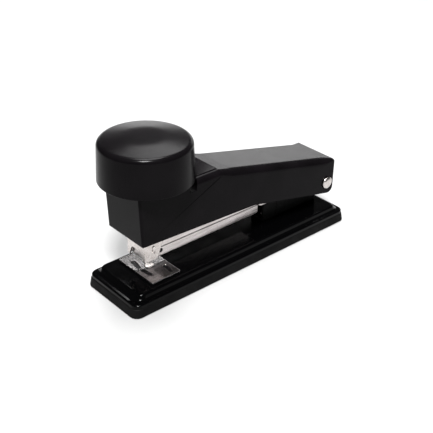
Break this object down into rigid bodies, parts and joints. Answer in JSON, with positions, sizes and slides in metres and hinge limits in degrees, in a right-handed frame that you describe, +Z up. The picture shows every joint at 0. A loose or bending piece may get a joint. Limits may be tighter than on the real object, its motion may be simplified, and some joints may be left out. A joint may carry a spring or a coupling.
{
  "type": "desk stapler",
  "caption": "Black desk stapler with a long stepped base, a sloping arm hinged at the rear, a round palm knob over the head, a steel magazine and a turning anvil.",
  "frame": {"origin": "centre of the base's underside, on the table", "axes": "+Y from the nose to the hinge along the base, +Z up, +X to the stapler's left seen from the hinge towards the nose"},
  "size_m": [0.0576, 0.184, 0.1015],
  "materials": {
    "tray_rubber": "matte moulded, fine grain",
    "black_enamel": "gloss stoved enamel",
    "satin_black": "satin black moulding, fine grain",
    "knob_black": "satin black moulding, soft sheen",
    "bracket_black": "satin black paint",
    "nickelled_steel": "nickel plated, drawn along its length",
    "polished_steel": "mirror polished plate",
    "spring_steel": "drawn wire, lightly oiled",
    "zinc_steel": "bright zinc plating",
    "guide_acetal": "grey moulded acetal"
  },
  "bodies": {
    "base": {"base_tray": "tray_rubber", "base_pan": "black_enamel", "hinge_bracket": "bracket_black", "bracket_rivet_front": "zinc_steel", "bracket_rivet_rear": "zinc_steel", "hinge_pin": "nickelled_steel", "hinge_bush_left": "guide_acetal", "hinge_bush_right": "guide_acetal", "lift_spring": "spring_steel", "anvil_spring": "spring_steel"},
    "anvil_lifter": {"anvil_post": "nickelled_steel"},
    "anvil": {"anvil_plate": "polished_steel"},
    "arm": {"arm_housing": "satin_black", "head_deck": "satin_black", "inner_frame": "nickelled_steel", "magazine_channel": "nickelled_steel", "magazine_core": "nickelled_steel", "staple_strip": "zinc_steel", "nose_piece": "nickelled_steel", "nose_rivet_left": "zinc_steel", "nose_rivet_right": "zinc_steel", "plunger_guide": "guide_acetal", "guide_rod": "nickelled_steel", "magazine_end": "guide_acetal", "return_spring": "spring_steel", "follower_spring": "spring_steel"},
    "plunger": {"knob": "knob_black", "stem_pin": "zinc_steel", "plunger_stem": "zinc_steel", "driver_blade": "spring_steel", "driver_rivet": "zinc_steel"},
    "follower": {"follower": "guide_acetal"}
  },
  "joints": [
    {"name": "arm_pivot", "type": "hinge", "parent": "base", "child": "arm", "pos_m": [0, 0.0777, 0.0311], "axis": [-1, 0, 0], "range_deg": [-3.25, 90], "stiffness_Nm_per_rad": 4, "springref_deg": 3.32, "deforming": ["lift_spring"]},
    {"name": "plunger_press", "type": "slide", "parent": "arm", "child": "plunger", "axis": [0, 0, -1], "range_m": [0, 0.008], "stiffness_N_per_m": 900, "springref_m": -0.006, "deforming": ["return_spring"]},
    {"name": "follower_slide", "type": "slide", "parent": "arm", "child": "follower", "axis": [0, 1, 0], "range_m": [0, 0.02], "stiffness_N_per_m": 120, "springref_m": -0.025, "deforming": ["follower_spring"]},
    {"name": "anvil_lift", "type": "slide", "parent": "base", "child": "anvil_lifter", "axis": [0, 0, 1], "range_m": [0, 0.0015], "stiffness_N_per_m": 1500, "springref_m": -0.003, "deforming": ["anvil_spring"]},
    {"name": "anvil_turn", "type": "hinge", "parent": "anvil_lifter", "child": "anvil", "pos_m": [0, -0.0622, 0.0126], "axis": [0, 0, 1], "range_deg": [0, 180]}
  ]
}
